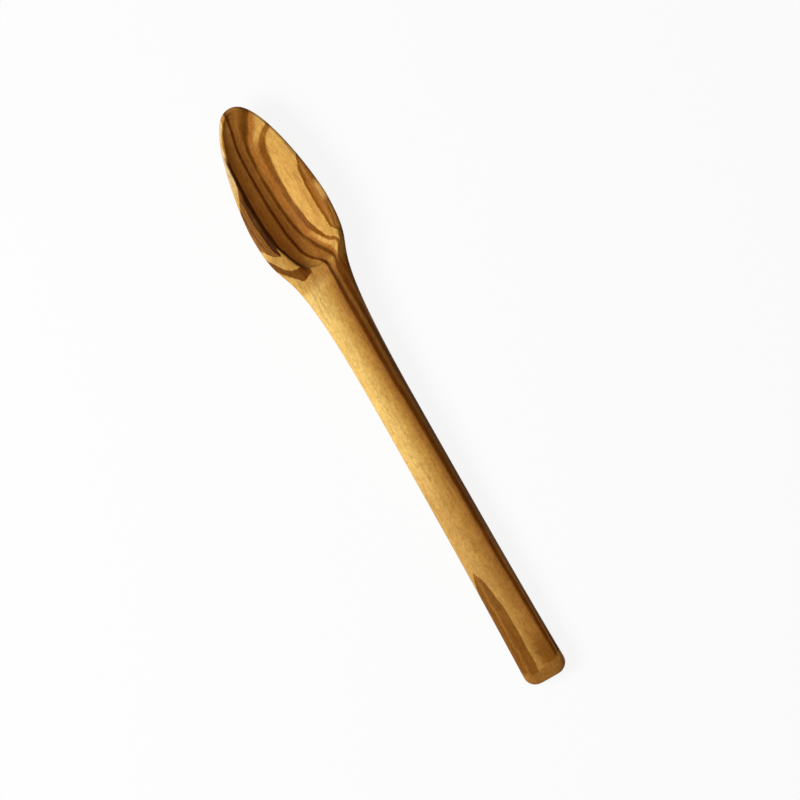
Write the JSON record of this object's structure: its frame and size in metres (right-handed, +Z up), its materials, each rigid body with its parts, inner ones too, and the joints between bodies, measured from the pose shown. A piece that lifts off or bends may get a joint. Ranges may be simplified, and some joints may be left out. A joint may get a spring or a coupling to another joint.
{
  "type": "spice spoon",
  "caption": "Slim wooden spice spoon carved whole: pointed oval bowl with a gouged hollow, soft shoulders, straight oval handle and a squared butt with rounded corners and bevelled edges.",
  "frame": {"origin": "on the table, under the middle of the spoon's length and width, as the spoon lies at rest with the hollow up", "axes": "+X from the butt to the tip, +Y to the left of a cook who holds the handle, +Z up out of the hollow"},
  "size_m": [0.16, 0.0212, 0.0124],
  "materials": {
    "oiled_wood": "satin, oiled, honey-coloured with dark brown growth lines"
  },
  "bodies": {
    "root": {"spoon": "oiled_wood"}
  },
  "joints": []
}
